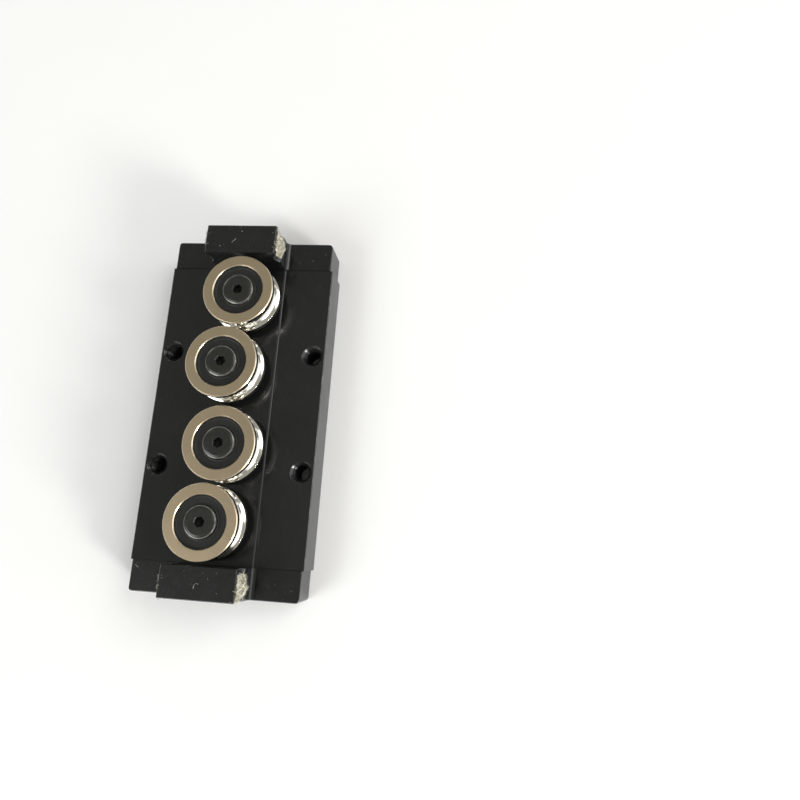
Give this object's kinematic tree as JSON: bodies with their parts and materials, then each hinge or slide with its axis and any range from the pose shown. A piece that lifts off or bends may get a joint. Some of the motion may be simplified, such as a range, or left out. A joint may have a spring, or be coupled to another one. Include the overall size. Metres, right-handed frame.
{
  "type": "roller carriage",
  "caption": "Flat rectangular roller carriage of a linear guide, with U-groove track rollers in a staggered row between two end caps that wipe the guide shafts.",
  "frame": {"origin": "centre of the mounting face of the carriage plate, at the bottom of the part", "axes": "+X along the rail (direction of travel), +Y across the carriage, +Z out of the roller side, along the rollers' axles"},
  "size_m": [0.123, 0.059, 0.0271],
  "materials": {
    "black_anodised": "satin black anodised, fine scratches",
    "black_plate": "smooth satin black moulding",
    "black_plastic": "smooth satin black moulding with lint and fine scratches",
    "felt": "oiled khaki-white wool felt",
    "black_steel": "black oxide, lightly oiled",
    "zinc_steel": "zinc plated",
    "bright_steel": "ground bearing steel",
    "ground_steel": "ground and polished bearing steel, warm tint",
    "ball_steel": "polished",
    "brass_cage": "pressed brass",
    "seal_rubber": "smooth black nitrile"
  },
  "bodies": {
    "carriage": {"carriage_plate": "black_anodised", "backing_plate_front": "black_plate", "backing_plate_rear": "black_plate", "end_cap_front": "black_plastic", "end_cap_rear": "black_plastic", "felt_wiper_front_left": "felt", "felt_wiper_front_right": "felt", "felt_wiper_rear_left": "felt", "felt_wiper_rear_right": "felt", "end_cap_screws": "black_steel", "axle_lock_nuts": "zinc_steel", "fixed_axle_1": "black_steel", "spacer_1": "bright_steel", "inner_ring_1": "bright_steel", "fixed_axle_3": "black_steel", "spacer_3": "bright_steel", "inner_ring_3": "bright_steel"},
    "eccentric_2": {"eccentric_axle_2": "black_steel", "spacer_2": "bright_steel", "inner_ring_2": "bright_steel"},
    "eccentric_4": {"eccentric_axle_4": "black_steel", "spacer_4": "bright_steel", "inner_ring_4": "bright_steel"},
    "roller_1": {"outer_ring_1": "ground_steel", "seal_upper_1": "seal_rubber", "seal_lower_1": "seal_rubber"},
    "ball_set_1": {"balls_1": "ball_steel", "ball_cage_1": "brass_cage"},
    "roller_2": {"outer_ring_2": "ground_steel", "seal_upper_2": "seal_rubber", "seal_lower_2": "seal_rubber"},
    "ball_set_2": {"balls_2": "ball_steel", "ball_cage_2": "brass_cage"},
    "roller_3": {"outer_ring_3": "ground_steel", "seal_upper_3": "seal_rubber", "seal_lower_3": "seal_rubber"},
    "ball_set_3": {"balls_3": "ball_steel", "ball_cage_3": "brass_cage"},
    "roller_4": {"outer_ring_4": "ground_steel", "seal_upper_4": "seal_rubber", "seal_lower_4": "seal_rubber"},
    "ball_set_4": {"balls_4": "ball_steel", "ball_cage_4": "brass_cage"}
  },
  "joints": [
    {"name": "eccentric_adjust_2", "type": "hinge", "parent": "carriage", "child": "eccentric_2", "pos_m": [0.0129, 0.00135, 0.0218], "axis": [0, 0, 1], "range_deg": [-60, 60]},
    {"name": "eccentric_adjust_4", "type": "hinge", "parent": "carriage", "child": "eccentric_4", "pos_m": [-0.03865, 0.00135, 0.0218], "axis": [0, 0, 1], "range_deg": [-60, 60]},
    {"name": "roller_spin_1", "type": "hinge", "parent": "carriage", "child": "roller_1", "pos_m": [0.0382, -0.00135, 0.0218], "axis": [0, 0, 1], "continuous": true},
    {"name": "ball_spin_1", "type": "hinge", "parent": "carriage", "child": "ball_set_1", "pos_m": [0.0382, -0.00135, 0.0218], "axis": [0, 0, 1], "continuous": true},
    {"name": "roller_spin_2", "type": "hinge", "parent": "eccentric_2", "child": "roller_2", "pos_m": [0.01335, 0.00135, 0.0218], "axis": [0, 0, 1], "continuous": true},
    {"name": "ball_spin_2", "type": "hinge", "parent": "eccentric_2", "child": "ball_set_2", "pos_m": [0.01335, 0.00135, 0.0218], "axis": [0, 0, 1], "continuous": true},
    {"name": "roller_spin_3", "type": "hinge", "parent": "carriage", "child": "roller_3", "pos_m": [-0.01335, -0.00135, 0.0218], "axis": [0, 0, 1], "continuous": true},
    {"name": "ball_spin_3", "type": "hinge", "parent": "carriage", "child": "ball_set_3", "pos_m": [-0.01335, -0.00135, 0.0218], "axis": [0, 0, 1], "continuous": true},
    {"name": "roller_spin_4", "type": "hinge", "parent": "eccentric_4", "child": "roller_4", "pos_m": [-0.0382, 0.00135, 0.0218], "axis": [0, 0, 1], "continuous": true},
    {"name": "ball_spin_4", "type": "hinge", "parent": "eccentric_4", "child": "ball_set_4", "pos_m": [-0.0382, 0.00135, 0.0218], "axis": [0, 0, 1], "continuous": true}
  ],
  "couplings": [
    {"joint": "ball_spin_1", "follows": "roller_spin_1", "ratio": 0.6148},
    {"joint": "ball_spin_2", "follows": "roller_spin_2", "ratio": 0.6148},
    {"joint": "ball_spin_3", "follows": "roller_spin_3", "ratio": 0.6148},
    {"joint": "ball_spin_4", "follows": "roller_spin_4", "ratio": 0.6148}
  ]
}
